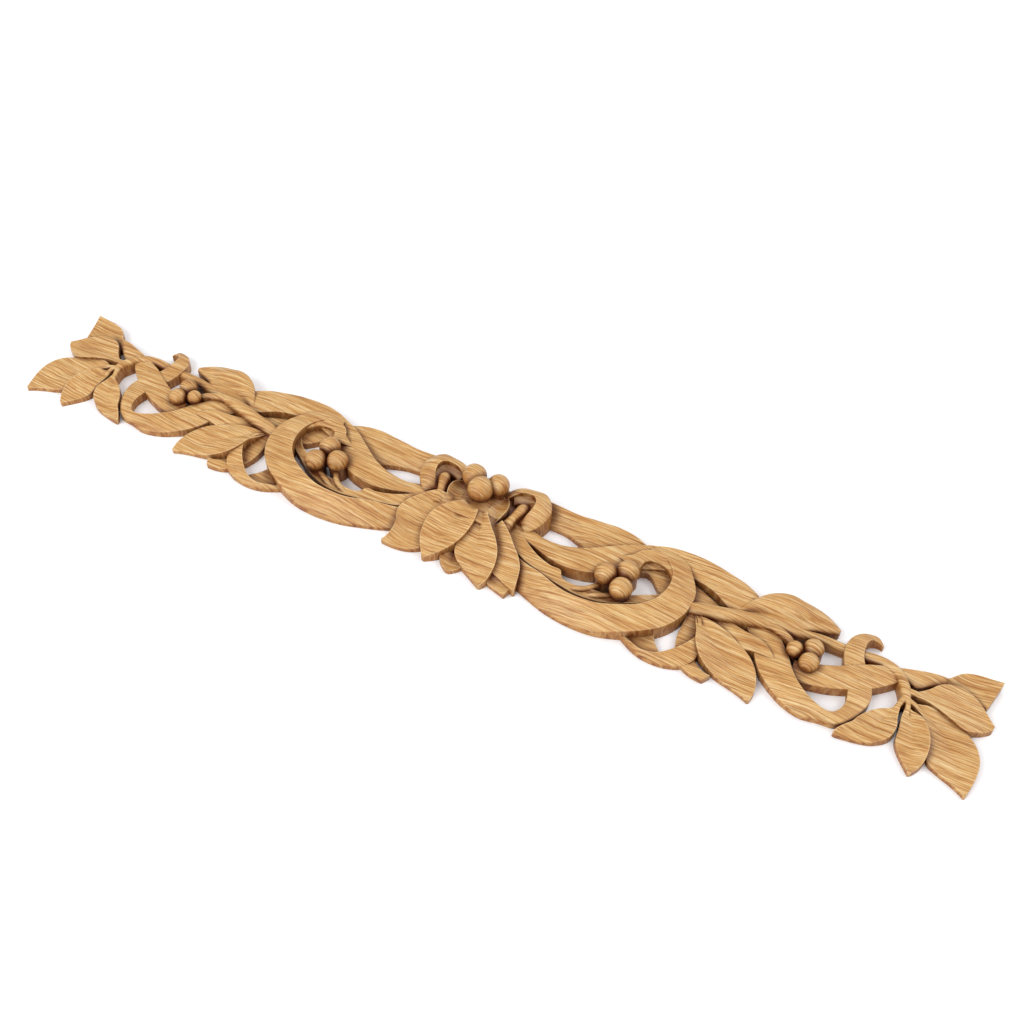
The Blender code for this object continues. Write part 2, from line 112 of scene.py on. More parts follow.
POST_SHARE = 0.85           # radius of a berry's foot, as a share of its own
WIDE_POST_SHARE = 0.95      # the same for the upper one of the outer berries
BERRY_SIDES = 40
SHARP_ANGLE = 32            # edges that turn more than this stay sharp
TOOL_WAVES = ((16.0, 0.28), (6.0, 0.10))    # length and height of the gouge's unevenness
TOOL_SHIFT = Vector((3.7, 1.3, 0.4))        # where in the noise the unevenness is taken from

SHELTER_RAYS = 48           # directions over the sphere in which a corner looks for wood near it
SHELTER_REACH = 0.020       # how far it looks, in metres
SHELTER_LIFT = 0.0003       # it starts this far above the surface
SHELTER_LEAST_FACING = 0.15     # directions that rise less than this above the surface are left out
SHELTER_ROUNDS = 3          # how many times the shelter values are evened out with their neighbours
RIM_BEND = 0.0009           # radius of a bend that counts as a full rim
LEAST_EDGE = 0.0001         # shorter edges count as this long where bends are measured

CAMERA_PLACE = (0.3863, -0.6295, 0.8784)
CAMERA_AIM = (0.02423, 0.03352, 0.0)
CAMERA_LENS = 46.98
CAMERA_SENSOR = 36.0
FLOOR_SIZE = 12.0
FLOOR_DROP = -0.0002
FLOOR_COLOUR = (0.93, 0.93, 0.94)
FLOOR_ROUGHNESS = 0.9
FLOOR_SPECULAR = 0.1
ROOM_COLOUR = (0.97, 0.98, 1.0)
ROOM_STRENGTH = 0.82
KEY_PLACE = (-0.7, -1.6, 1.6)
KEY_SIZE = 1.6
KEY_POWER = 34.0
FILL_PLACE = (1.3, 1.2, 1.9)
FILL_SIZE = 1.6
FILL_POWER = 22.0

# Grain: counts per metre along X and across it, then detail, roughness and distortion of the noise.
STREAKS = (20.0, 780.0, 2.0, 0.6, 0.3)
LINES = (36.0, 1000.0, 2.0, 0.6, 0.3)
PORES = (160.0, 2600.0, 1.0, 0.5, 0.0)
BROAD = (9.0, 40.0, 2.0, 0.5, 0.0)
THROUGH = 0.12              # counts through the board, as a share of those across it
BEND_SCALE = 16.0           # counts per metre of the noise that makes the grain wave
BEND_DETAIL = 2.0
BEND_SIZE = 0.007

# Colours: stops of a ramp, each its place on the ramp and its colour.
STREAK_COLOURS = ((0.32, (0.40, 0.175, 0.045)), (0.43, (0.52, 0.27, 0.082)), (0.53, (0.61, 0.37, 0.138)),
                  (0.66, (0.70, 0.50, 0.25)))
LINE_COLOURS = ((0.38, (0.55, 0.40, 0.27)), (0.52, (1, 1, 1)))
LINE_STRENGTH = 0.6
BROAD_COLOURS = ((0.3, (0.88, 0.82, 0.74)), (0.7, (1, 1, 1)))
BROAD_STRENGTH = 1.0
PORE_COLOURS = ((0.30, (0.42, 0.28, 0.17)), (0.40, (1, 1, 1)))
PORE_STRENGTH = 0.45
WALL_SHADE_RANGE = ((0.10, (1, 1, 1)), (0.85, (0, 0, 0)))     # painted shade of the walls, from upright (full) to level (none)
# painted shade: the colour that upright walls are multiplied by
WALL_SHADE_COLOUR = (0.70, 0.55, 0.41)
# painted shade in recesses and under crossing parts, by how sheltered a corner is
RECESS_SHADE_RANGE = ((0.06, (0, 0, 0)), (0.20, (0.50, 0.50, 0.50)), (0.42, (1, 1, 1)))
RECESS_SHADE_COLOUR = (0.25, 0.115, 0.05)
# painted shade in creases, where the surface bends inwards
CREASE_SHADE_RANGE = ((0.25, (0, 0, 0)), (0.90, (0.9, 0.9, 0.9)))
CREASE_SHADE_COLOUR = (0.42, 0.25, 0.13)
# painted highlight on rims, where the surface bends outwards
RIM_HIGHLIGHT_RANGE = ((0.15, (0, 0, 0)), (1.0, (0.55, 0.55, 0.55)))
RIM_HIGHLIGHT_COLOUR = (0.85, 0.60, 0.32)
WOOD_ROUGHNESS = 0.45
WOOD_SPECULAR = 0.42
BUMP_STRENGTH = 0.4
BUMP_DEPTH = 0.0006
PORE_RELIEF = 0.7           # depth of the pores in the bump, as a share of the lines'

SCROLL = [
    (40, 0, 9, 48, -24, 4.5), (62, -11, 12, 64, -32, 4), (82, -17.5, 15.5, 82, -38.5, 4),
    (103, -25, 17, 101, -44, 3.5), (120, -26.5, 17.5, 122, -46.2, 4), (136, -24.8, 18, 143, -44.8, 7),
    (153, -18, 18.5, 163, -38.2, 12), (166, -10.5, 18.5, 181, -29, 14.5), (176, 0.5, 18.5, 195, -16, 15),
    (180.5, 14, 18.5, 203.5, 3, 15), (180, 27, 18, 202.5, 24.8, 15), (176.5, 35.3, 18, 193, 40, 15.5),
    (169.6, 42.3, 18, 184, 50, 15), (161, 45.5, 17.5, 168, 55, 15), (152, 45.5, 17, 154, 52, 15),
]
SCROLL_TIP = [
    (179.3, 28, 14, 181.5, 29, 17.2), (172.5, 35.6, 14.5, 176, 40, 18), (164, 38.2, 14.5, 166, 46, 18.5),
    (156.5, 36.5, 15.5, 155, 46.3, 18.5), (152.8, 32, 16, 146.5, 42, 18), (152, 26, 16, 142, 35, 17.5),
    (148, 21, 15.5, 138.5, 28, 16),
]
TIP_BARB = [
    (143, 26, 16.5, 146, 40, 16.8), (138, 26.5, 16, 138, 33, 16.3), (130, 28, 15.2, 130, 29, 15.4),
]
RIBBON = [
    (30, 26, 10, 40, 8, 10), (53, 22, 12, 58, 8, 12), (68, 18.5, 12, 75, 2.5, 13),
    (85, 19, 13, 90, -1, 14), (103, 24.5, 14.5, 106, 0, 14), (120, 35, 15.5, 122, 5, 14.5),
    (137, 46.5, 15, 138, 17, 12.5), (152, 53.5, 15, 152, 29, 10.5), (168, 58.8, 15.5, 168, 36, 11),
    (187, 61, 15, 186, 38.7, 12), (203, 60, 15, 201, 37.8, 13), (220, 57, 14.5, 216, 33.5, 13.5),
    (236, 53.5, 13.5, 228, 27, 13), (250, 47, 12.5, 240, 21, 12), (262, 38.5, 12.2, 250.5, 15.5, 11.3),
    (273, 26.5, 12.3, 256.5, 8.5, 11), (283, 13, 12.5, 262, 1, 11), (290, 5, 12.5, 267, -8, 10.5),
    (297, -5, 12.5, 275, -18, 9.5), (304, -13, 12.5, 287, -27, 7.5), (312, -19.5, 12.5, 301, -34.5, 6),
    (321, -24.5, 12, 317, -38, 5.5), (330, -27, 11, 331, -35.5, 6), (337, -26, 10, 344, -33.5, 7),
    (342, -20, 9.5, 353, -24, 8), (343.5, -12, 9.5, 358, -14, 9), (342, -4, 10, 360, -4, 9.5),
    (339, 4, 10, 359, 4, 10), (334, 14, 10, 354, 14, 10), (330, 22, 10.5, 347.5, 24, 10.5),
    (327, 31, 11.5, 343, 32, 12), (326.5, 40, 11.5, 341, 40, 13), (329, 49, 10.5, 341, 46.5, 12.5),
    (334.5, 55, 10, 343, 51, 11.5), (341, 57.5, 9.5, 346, 52.5, 10), (347, 58, 8.5, 349.5, 53, 8.5),
    (353, 53, 6.5, 352.3, 52, 6.5),
]
UNDER_RIBBON = [
    (40, 58, 13, 40, 38, 6), (60, 56.5, 13, 60, 37.5, 5), (80, 55.5, 13, 78, 37, 5),
    (100, 57, 13.5, 94, 32, 6), (120, 58.5, 13.5, 112, 24, 7), (136, 56.5, 13, 130, 20, 8),
    (152, 51, 11, 146, 24, 8), (168, 46, 8, 158, 29.5, 7), (185, 42, 8, 174, 17.5, 7),
    (200, 36, 8.5, 190, 9, 7.5), (213, 30.5, 9, 205, 5, 8), (226, 24.5, 9.5, 222, 0, 9),
    (241, 13, 12.5, 238, -8, 8), (250, 9.8, 13.8, 247, -7.2, 8.5), (258, 8.3, 14.8, 254, -6.5, 10),
    (269, 6, 15, 265, -4.8, 12.2), (276.5, 1, 14.2, 273.5, -5, 13.2), (282, -3, 12.4, 281, -4.2, 12.2),
]
BOW = [
    (164, -34, 6, 160.5, -34.6, 4), (174.5, -38.8, 7.5, 171, -40.7, 4.5), (183, -42, 8.5, 181, -45, 4.5),
    (192, -41.5, 9, 191, -46.8, 4.5), (200.5, -37.5, 9.8, 203, -46.3, 4.5),
    (208.5, -30.5, 11.5, 213, -43.5, 5), (214.5, -23, 13, 222, -38, 6), (219, -14.5, 14, 227, -28, 9),
    (218.5, -8, 14, 222, -11, 13), (215, 0, 14, 218.5, 0, 14), (211.5, 6, 11.5, 215, 7, 11.5),
]
BOW_BACK = [
    (187, -21, 6, 163, -31, 5), (191, -28.5, 5.5, 170, -35, 4.5), (197, -34.5, 5, 180, -42, 4),
    (201, -38, 4.5, 190, -45, 3.5),
]
BOW_TAIL = [
    (216, 8, 10, 204, 8, 10), (217.5, -3, 8, 204, -5, 8), (219, -15, 7, 204.5, -16, 7),
    (223, -26, 6, 209, -29, 6), (231, -34, 6, 219, -40, 5.5), (242.5, -38, 6.5, 238.7, -44.5, 5.5),
]
CROSS_BAND = [
    (296, 4, 11, 297, -12, 8), (312, 8, 12, 308, -12, 9), (322, 12, 12, 321, -9.5, 10),
    (335, 19, 12, 334, -5, 10.5), (347, 26.5, 12, 347, 1.5, 10.5), (357, 31, 12, 359, 9, 10.5),
    (366, 34, 12, 370, 19, 10.5), (375, 37.5, 12, 378, 27, 11), (386, 41, 12, 388, 26, 9),
    (396, 44, 11.5, 398, 34, 8.5), (405, 46, 10, 407, 40, 6.5),
]
STRAND = [
    (38, 22, 12, 32, 14, 12), (56, 8, 13, 48, -2, 12), (72, -1, 13, 64, -10, 12),
    (86, -5, 13, 80, -14.5, 12), (95, -5.5, 13, 92, -17.8, 12), (98.5, -11, 12.5, 101, -19.3, 12),
    (110, -13, 12, 115, -20.8, 11.5), (121, -10.5, 12, 130, -19.6, 11.5), (135, -9, 12, 144, -15.2, 11),
    (152, -2, 11, 157, -8.5, 11), (163, 5, 10.5, 168, -1, 10.5), (174, 12, 10, 179, 7, 10),
    (181, 21, 9.5, 187, 17, 9.5),
]
BACK_LEAF = [
    (237, 25, 14, 243, 21, 14), (246, 41, 15.5, 255, 24.5, 14.5), (257, 52.5, 17, 268, 26, 14),
    (271, 58, 18, 280, 28.5, 13), (285, 57.5, 16.5, 291, 33, 12), (299, 58, 12.5, 301, 39.5, 10.5),
    (309, 55.5, 10.5, 310, 43, 9.5), (318, 51.2, 8, 317.6, 46.5, 8.5),
]
FRONT_LEAF = [
    (212, 8, 11, 210.4, 6.5, 11), (219, 6.6, 13.8, 213.5, -1, 14), (228, 5.3, 14.2, 217, -8, 16),
    (240, 2.5, 13.2, 220.5, -18, 15.5), (252, -3, 12, 228, -27.5, 12.5), (264, -9.5, 10, 237.5, -33.5, 9),
    (272.5, -18, 8, 248, -37.2, 5.5), (277, -28, 7, 259, -39.5, 4.5), (278.5, -37, 6, 269, -42, 4.5),
    (277.8, -44.3, 5, 276.3, -44.8, 4.5),
]
END_LEAVES = [
    [(396, 43.5, 9.5, 397, 35, 7), (407, 46.8, 10.2, 410, 36, 6.5), (415, 56, 9.5, 420, 36, 5.5),
     (426, 60, 10, 431, 36, 6), (437, 60.5, 11, 439, 34, 7), (445.8, 60.5, 12.5, 440.5, 33, 7.5)],
    [(382, 19.5, 13.5, 383, 15, 13.5), (389, 20.8, 13, 390, 16, 12.8), (396, 27, 12.5, 398, 16.5, 12),
     (403, 36, 12, 409, 14, 11), (413, 41, 11.5, 420, 10.5, 9.8), (427, 40, 10, 432, 7, 8.6),
     (438, 33, 9, 440, 10.5, 7.4), (445, 26, 8.5, 445.5, 14, 6), (450, 21.5, 8, 449.5, 18, 7)],
    [(384, 11.5, 13, 385, 8, 13), (391, 10.2, 12.5, 390.5, 6.8, 12.5), (401, 14.2, 10.5, 398, 3.5, 10.5),
     (418, 12.5, 7, 405, -8, 8.5), (432, 7, 6.6, 410, -20, 6.5), (443, -3, 8.5, 414, -31, 5.5),
     (449, -15, 8, 424, -36, 4.5), (450, -27, 7, 434, -39.5, 4.5), (449, -37, 6, 442, -43, 4.5),
     (447.6, -45, 5, 446.6, -45.8, 4.5)],
    [(388, 6.5, 13, 384.8, 5.5, 13), (389.5, 3, 12.5, 385.2, 1, 12.5), (396, 1.5, 13, 385, -4, 12),
     (406, -7, 13.5, 386.5, -16, 10), (411.5, -20, 13, 387.5, -25.5, 7),
     (412.5, -30, 10.5, 391.5, -32.5, 6), (411, -38, 8, 398, -39.8, 5.5),
     (406.2, -46.2, 6, 404.8, -46.8, 5.5)],
    [(382, 6, 13, 378.5, 5, 13), (382, 0, 12.5, 377, -1, 12), (383, -8, 12, 368, -6.5, 11),
     (385, -17, 11.5, 361.5, -13, 11), (383, -26, 9, 356.5, -20, 10.5), (374, -34, 5.5, 353.5, -26.5, 10),
     (363, -38, 4, 348.5, -32, 9), (353, -39.8, 4, 344.6, -37.5, 7.5),
     (345.5, -41, 4.5, 343.8, -40.2, 6)],
]
CROWN_CURL = [
    (42, 22, 12, 50, 15, 12), (44, 27, 19, 57, 22, 15), (47, 33, 24, 61.5, 30, 18),
    (47.5, 39, 26, 62.5, 39, 20), (45, 44, 26, 58.5, 48, 21), (39, 46.5, 25, 51, 54.5, 22),
    (33, 46, 24, 40, 54.5, 22), (28, 44, 22, 29, 53, 21), (22, 39, 18, 21, 48, 19),
    (19, 33, 14, 15, 41, 15),
]
CROWN_FOLD = [
    (40, 23, 12, 46, 20, 14), (40, 29, 14, 47, 27, 19), (41, 35, 15, 48.5, 36, 21),
    (38.5, 39.5, 15, 43, 46, 21), (33, 40, 15, 34, 47.5, 20), (28, 37, 14, 25, 43, 18),
]
CROWN_SCALE = [
    (14, 14, 20, 23.5, 11, 15), (14, 21, 20.5, 27, 17, 20), (14.5, 27, 19.5, 28.6, 24, 22.5),
    (16, 33, 18.5, 27, 31, 22.8), (19, 37, 18, 23, 36.8, 20),
]
CROWN_BASE = [
    (-44, 40, 8, -44, 14, 8), (-30, 46, 9, -30, 8, 10), (-20, 48, 15, -22, 4, 16), (0, 50, 20, 0, 0, 23),
    (20, 48, 15, 22, 4, 16), (30, 46, 9, 30, 8, 10), (44, 40, 8, 44, 14, 8),
]
FAN_LEAVES = [
    [(18, -28, 8, -4, -28, 8), (17.5, -38.5, 5, -2, -38.5, 6), (10.5, -45.5, 5, 7.5, -45.5, 5)],
    [(44, -30, 8, 45, -41.5, 6), (56, -32, 8, 55, -44, 5), (66, -36, 8, 63, -46.2, 5.5)],
    [(30, 13, 21, 20, 4, 15), (41, 5, 19, 28, -12, 12.5), (51, -4.5, 17, 36, -24, 10),
     (58.5, -11.5, 15.5, 44, -31.5, 8.5), (64.5, -20, 14, 52, -34.5, 8), (67.5, -30, 12, 60, -37.5, 8),
     (69.6, -39.5, 9.5, 68.4, -40.5, 9)],
    [(-2, 0, 14, -17, 13, 21), (-10, -10, 13, -36, 19, 18), (-16, -20, 10.5, -48, 9, 16.5),
     (-19, -29, 8.5, -56, -2, 15), (-22, -35.5, 6.5, -59, -12, 13), (-32, -41.5, 5, -53, -26, 12),
     (-45, -44, 4.5, -53, -38, 10), (-56.5, -43.8, 5, -56, -42.5, 7)],
    [(16, 12, 25, 6, 10, 24), (25, 2.5, 22, 6, -6, 17.5), (33.5, -5.5, 19, 5, -17, 14),
     (40.5, -15, 16.5, 6, -27, 12), (44.5, -27, 13.5, 13, -35, 9), (45, -38, 10.5, 23, -39.5, 6),
     (43, -44.5, 8, 33, -44.5, 5), (40.8, -47.6, 6.5, 39, -47.5, 5.5)],
    [(8, 10, 26, -8, 14, 26), (10, 0, 23, -21, 4, 23.5), (9, -11, 19.5, -28, -8, 20.5),
     (6, -21, 16.5, -28.5, -20, 16.5), (0.5, -30.5, 13.5, -25.5, -31, 13), (-7, -38.5, 10.5, -20, -39, 9),
     (-14.5, -43.8, 7, -17, -43.2, 7)],
]
FAN_CROWNS = (-0.6, -0.6, -0.8, -1.5, -1.5, -1.5)

# A stem's row is x, y, half its width, and the height of its crest.
CROWN_TONGUE = [
    (32, 8, 6.5, 16), (33.5, 16, 5, 18), (35, 22, 3.8, 19.5), (37, 28, 4.4, 21.5), (38.7, 33, 5.3, 22.5),
    (39, 37, 4, 21), (39, 40, 2.5, 18),
]
STEMS = [
    [(200, 10, 5, 13), (208, 12.5, 6, 16), (226, 15.5, 6.5, 18), (241, 19.5, 6.5, 18.5),
     (256, 23, 6.3, 18), (270, 26, 5.5, 16), (283, 29, 5, 13.5), (295, 32, 4.5, 12.5),
     (308, 34.5, 4.5, 11.5), (325, 35.5, 4.5, 10.5), (340, 35.5, 4.5, 11), (350, 35.8, 4.5, 13),
     (360, 35, 4.3, 14), (370, 31, 4.2, 14.5), (376.5, 24.5, 4.2, 15), (381, 17, 4.2, 15),
     (383.5, 9, 4, 14)],
    [(262, 22, 3, 15), (270, 23, 3.6, 17), (278, 21, 3.6, 17), (286, 18, 3, 16), (292, 13.5, 2.5, 14)],
    [(379, 18, 3.5, 13.5), (386, 18, 3, 13.8), (392, 19.5, 2.5, 12), (398, 21, 2, 8.5)],
    [(381, 10, 3.5, 14), (387, 9.3, 2.2, 13.8), (393, 8.2, 2, 12), (399, 6.5, 1.6, 8)],
    [(382, 10, 3, 14), (380.8, 5, 2.4, 13.3), (379, -1, 2.2, 11.5), (377, -8, 1.6, 8)],
    [(384, 11, 3, 14), (386.5, 5.5, 2.2, 13.6), (388, 0, 2.2, 12), (390, -6, 1.6, 8.5)],
    [(108, -17.5, 1.5, 10.5), (114, -15.5, 2.6, 13), (121, -12, 2.6, 13.2), (127, -5, 2.5, 13.2),
     (130, 1, 2.5, 12)],
    [(123, -17, 1.5, 10), (129, -15, 2.6, 12.8), (137, -11, 2.6, 13), (144, -6, 2.5, 12)],
]

# A berry's row is x, y, the height of its middle, its radius, and the share that its foot has of it.
BERRIES = [
    (145.8, 15.3, 18.2, BIG_BERRY, POST_SHARE), (148.3, -3.5, 18.4, BIG_BERRY, POST_SHARE),
    (131, 4.8, 18, BIG_BERRY, POST_SHARE), (305.5, 18.5, 14, SMALL_BERRY, WIDE_POST_SHARE),
    (306.7, 4.5, 14, SMALL_BERRY, POST_SHARE), (292.6, 10.8, 14.8, LEAST_BERRY, POST_SHARE),
]
CROWN_BERRIES = [
    (0.7, 27.5, 29.8, 11.2, POST_SHARE), (-11.4, 38.8, 29.2, 10.6, POST_SHARE),
    (11.5, 39.5, 28.5, 9.6, POST_SHARE),
]


def smooth(rows, step):
    """Rows on a smooth curve through the given rows, about step apart along the strip's middle."""
    rows = np.array(rows, float)
    middles = (rows[:, 0:2] + rows[:, 3:5]) / 2 if rows.shape[1] == 6 else rows[:, 0:2]
    at = np.concatenate([[0.0], np.cumsum(np.hypot(*np.diff(middles, axis=0).T))])
    slope = np.gradient(rows, at, axis=0, edge_order=2 if len(rows) > 2 else 1)
    wanted = np.linspace(0.0, at[-1], max(3, round(at[-1] / step) + 1))
    span = np.clip(np.searchsorted(at, wanted, side="right") - 1, 0, len(at) - 2)
    width = (at[span + 1] - at[span])[:, None]
    t = (wanted - at[span])[:, None] / width
    return (
        (2 * t**3 - 3 * t**2 + 1) * rows[span]
        + (t**3 - 2 * t**2 + t) * width * slope[span]
        + (3 * t**2 - 2 * t**3) * rows[span + 1]
        + (t**3 - t**2) * width * slope[span + 1]
    )


def tooling(x, y):
    """The small rises and falls that a gouge leaves on a surface that is flat in the drawing."""
    point = Vector((x, y, 0))
    return sum(height * noise.noise(point / length + TOOL_SHIFT) for length, height in TOOL_WAVES)


def placed(side, x, y, z):
    """A point of the drawing in metres, on the left half where side is -1."""
    return side * x * MM, (y + BACK_SHIFT) * MM, z * MM


def add_object(name, shape, collection):
    """An object with the given shape, in the given collection."""
    mesh = bpy.data.meshes.new(name)
    shape.to_mesh(mesh)
    shape.free()
    made = bpy.data.objects.new(name, mesh)
    collection.objects.link(made)
    return made


def foot():
    """How far below the back the next body runs, so that no two feet lie in one plane."""
    return -FOOT_DEPTH - FOOT_STAGGER * len(bodies.objects)


def loft(name, rings, side):
    """A closed body through rings of points of the drawing."""
    shape = bmesh.new()
    loops = [[shape.verts.new(placed(side, *point)) for point in ring] for ring in rings]
    for near, far in zip(loops, loops[1:]):
        for i in range(len(near)):
            j = (i + 1) % len(near)
            shape.faces.new((near[i], near[j], far[j], far[i]))
    shape.faces.new(loops[0])
    shape.faces.new(loops[-1])
    bmesh.ops.recalc_face_normals(shape, faces=shape.faces)
    add_object(name, shape, bodies)


def across(width, inner):
    """Where a cross-section has its points, as shares of its width, and how far its rims drop there."""
    edge = min(RIM, RIM_SHARE * width)
    turns = [(edge * (1 - math.cos(math.radians(a))), edge * (1 - math.sin(math.radians(a))))
             for a in RIM_ANGLES]
    left = [(away / width, drop) for away, drop in turns]
    middle = [(u, 0.0) for u in np.linspace(edge / width, 1 - edge / width, inner + 1)[1:-1]]
    right = [(1 - away / width, drop) for away, drop in reversed(turns)]
    return left + middle + right


def strip(name, rows, side=1, crown=0.0, rib=0.0, rib_at=0.5, rib_width=RIB_WIDTH, rib_end=RIB_END):
    """A ribbon or leaf with rounded rims, crowned between them, and grooved by rib at rib_at across it."""
    low = foot()
    path = smooth(rows, ALONG_STEP)
    widths = np.hypot(path[:, 3] - path[:, 0], path[:, 4] - path[:, 1])
    inner = max(3, round(widths.max() / ACROSS_STEP))
    rings = []
    for i, ((lx, ly, lz, rx, ry, rz), width) in enumerate(zip(path, widths)):
        share = i / (len(path) - 1)
        narrow = min(1.0, width / NARROW)
        fade = max(0.0, 1 - share / rib_end) ** RIB_FADE
        ring = [(lx, ly, low)]
        for u, drop in across(width, inner):
            x = lx + (rx - lx) * u
            y = ly + (ry - ly) * u
            groove = rib * fade * math.exp(-abs(u - rib_at) * width / rib_width)
            swell = crown * 4 * u * (1 - u) - groove
            ring.append((x, y, lz + (rz - lz) * u + swell * narrow - drop + tooling(side * x, y)))
        ring.append((rx, ry, low))
        rings.append(ring)
    loft(name, rings, side)


def leaf(name, rows, side=1, crown=LEAF_CROWN):
    """A leaf with the usual midrib."""
    strip(name, rows, side, crown, RIB_DEPTH)


def stem(name, rows, side):
    """A round-topped twig through rows of x, y, half its width and the height of its crest."""
    low = foot()
    path = smooth(rows, ALONG_STEP)
    heading = np.gradient(path[:, 0:2], axis=0)
    angles = [math.pi * (1 - i / STEM_ARC) for i in range(STEM_ARC + 1)]
    rings = []
    for (x, y, reach, crest), (dx, dy) in zip(path, heading):
        nx, ny = np.array((-dy, dx)) / math.hypot(dx, dy)
        ring = [(x + nx * reach * math.cos(a), y + ny * reach * math.cos(a),
                 crest - reach * (1 - math.sin(a)) * STEM_FALL) for a in angles]
        rings.append([(*ring[0][:2], low)] + ring + [(*ring[-1][:2], low)])
    loft(name, rings, side)


def berry(name, x, y, z, radius, post_share, side):
    """A ball, and the round post that it is carved on."""
    place = placed(side, x, y, z)
    ball = bmesh.new()
    bmesh.ops.create_uvsphere(ball, u_segments=BERRY_SIDES, v_segments=BERRY_SIDES // 2, radius=radius * MM)
    bmesh.ops.translate(ball, vec=place, verts=ball.verts)
    add_object(name, ball, bodies)
    low = foot()
    post = bmesh.new()
    bmesh.ops.create_cone(post, cap_ends=True, segments=BERRY_SIDES, radius1=radius * post_share * MM,
                          radius2=radius * post_share * MM, depth=(z - low) * MM)
    bmesh.ops.translate(post, vec=(*place[:2], (z + low) / 2 * MM), verts=post.verts)
    add_object(name + " post", post, bodies)


def half(side):
    """Everything that both halves have, on the right for side 1 and on the left for side -1."""
    strip("under ribbon", UNDER_RIBBON, side, UNDER_RIBBON_CROWN)
    strip("ribbon", RIBBON, side, RIBBON_CROWN)
    strip("scroll", SCROLL, side, SCROLL_CROWN)
    strip("scroll tip", SCROLL_TIP, side)
    strip("tip barb", TIP_BARB, side)
    strip("bow tail", BOW_TAIL, side)
    strip("bow", BOW, side, BOW_CROWN)
    strip("bow back", BOW_BACK, side, BOW_BACK_CROWN)
    strip("cross band", CROSS_BAND, side, CROSS_BAND_CROWN)
    strip("strand", STRAND, side, STRAND_CROWN)
    strip("back leaf", BACK_LEAF, side, BACK_LEAF_CROWN, BACK_LEAF_RIB, BACK_LEAF_RIB_AT,
          BACK_LEAF_RIB_WIDTH, BACK_LEAF_RIB_END)
    leaf("front leaf", FRONT_LEAF, side)
    for i, rows in enumerate(END_LEAVES):
        leaf(f"end leaf {i}", rows, side)
    for i, rows in enumerate(STEMS):
        stem(f"stem {i}", rows, side)
    for i, ball in enumerate(BERRIES):
        berry(f"berry {i}", *ball, side)
    strip("crown curl", CROWN_CURL, side, CURL_CROWN)
    strip("crown fold", CROWN_FOLD, side, FOLD_CROWN)
    stem("crown tongue", CROWN_TONGUE, side)
    strip("crown scale", CROWN_SCALE, side, SCALE_CROWN)


def centre():
    """What stands once, at the middle: the crown's base, the fan of leaves and the crown's berries."""
    strip("crown base", CROWN_BASE, 1, BASE_CROWN)
    for i, (rows, crown) in enumerate(zip(FAN_LEAVES, FAN_CROWNS)):
        leaf(f"fan leaf {i}", rows, 1, crown)
    for i, ball in enumerate(CROWN_BERRIES):
        berry(f"crown berry {i}", *ball, 1)


def blank():
    """The block that the bodies are cut to, as large as the solid."""
    low, high = Vector(cad_box[0]), Vector(cad_box[1])
    block = bmesh.new()
    bmesh.ops.create_cube(block, size=1.0)
    bmesh.ops.scale(block, vec=high - low, verts=block.verts)
    bmesh.ops.translate(block, vec=(low + high) / 2, verts=block.verts)
    return add_object("blank", block, bpy.context.scene.collection)


def carve():
    """One closed mesh of all the bodies, cut to the blank, so its back is flat at height 0."""
    scene = bpy.context.scene
    board = blank()
    first = bodies.objects[0]
    rough = bpy.data.objects.new("rough", first.data)
    scene.collection.objects.link(rough)
    bpy.data.objects.remove(first)
    join = rough.modifiers.new("join", "BOOLEAN")
    join.operation = "UNION"
    join.solver = "MANIFOLD"
    join.operand_type = "COLLECTION"
    join.collection = bodies
    back = rough.modifiers.new("flat back", "BOOLEAN")
    back.operation = "INTERSECT"
    back.solver = "MANIFOLD"
    back.object = board
    bpy.context.view_layer.update()
    final = bpy.data.meshes.new_from_object(rough.evaluated_get(bpy.context.evaluated_depsgraph_get()))
    for spent in list(bodies.objects) + [board, rough]:
        bpy.data.objects.remove(spent)
    bpy.data.collections.remove(bodies)
    final.name = "carved_laurel"
    final.materials.clear()
    final.shade_smooth()
    final.set_sharp_from_angle(angle=math.radians(SHARP_ANGLE))
    onlay = bpy.data.objects.new("carved_laurel", final)
    scene.collection.objects.link(onlay)
    return onlay


def corner_vectors(mesh, name):
    """The place or the normal of every corner of the mesh, one row each."""
    values = np.empty(len(mesh.vertices) * 3, np.float32)
    mesh.vertices.foreach_get(name, values)
    return values.reshape(-1, 3)


def edge_ends(mesh):
    """The numbers of the corners at the two ends of every edge."""
    ends = np.empty(len(mesh.edges) * 2, np.int32)
    mesh.edges.foreach_get("vertices", ends)
    return ends.reshape(-1, 2).T


def store(mesh, name, values):
    """Keeps a value for each corner, which the material reads by the same name."""
    attribute = mesh.attributes.new(name, "FLOAT", "POINT")
    attribute.data.foreach_set("value", np.array(values, np.float32))


def sphere_directions(count):
    """Unit vectors spread evenly over the sphere."""
    turn = math.pi * (3 - math.sqrt(5))
    spread = []
    for i in range(count):
        up = 1 - (2 * i + 1) / count
        flat = math.sqrt(1 - up * up)
        spread.append(Vector((flat * math.cos(turn * i), flat * math.sin(turn * i), up)))
    return spread


def sheltered(vertex, tree, spread):
    """How much of what a corner faces is near wood: 0 in the open, 1 deep in a recess."""
    start = vertex.co + vertex.normal * SHELTER_LIFT
    blocked = 0.0
    total = 0.0
    for direction in spread:
        facing = direction.dot(vertex.normal)
        if facing > SHELTER_LEAST_FACING:
            total += facing
            reach = tree.ray_cast(start, direction, SHELTER_REACH)[3]
            if reach is not None:
                blocked += facing * (1 - reach / SHELTER_REACH)
    return blocked / total


